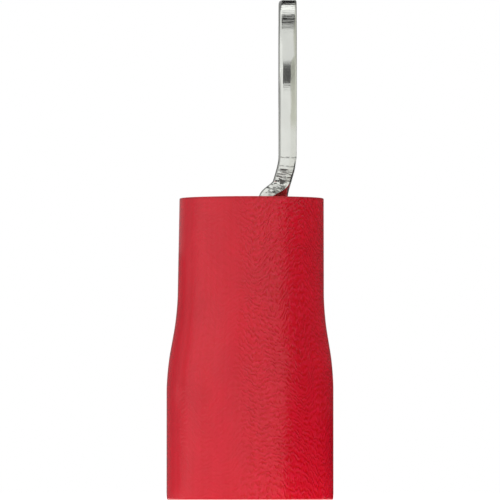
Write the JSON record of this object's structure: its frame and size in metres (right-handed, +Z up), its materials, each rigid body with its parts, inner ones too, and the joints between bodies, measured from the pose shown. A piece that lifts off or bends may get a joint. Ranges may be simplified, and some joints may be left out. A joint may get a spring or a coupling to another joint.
{
  "type": "insulated ring terminal",
  "caption": "Insulated crimp ring terminal: a flat tinned ring on a joggled neck, rolled into a serrated wire barrel inside a flared red vinyl sleeve.",
  "frame": {"origin": "On the sleeve's axis, in the plane of its rear rim.", "axes": "+Z up along the sleeve's axis from the rear rim to the ring, +X the way the ring's outer seat faces, +Y across the ring."},
  "size_m": [0.0112, 0.0112, 0.0333],
  "materials": {
    "tinned_copper": "bright tin plating on stamped copper sheet",
    "red_vinyl": "satin vinyl with fine drawn ripples"
  },
  "bodies": {
    "root": {"ring_terminal": "tinned_copper", "insulation_sleeve": "red_vinyl"}
  },
  "joints": []
}
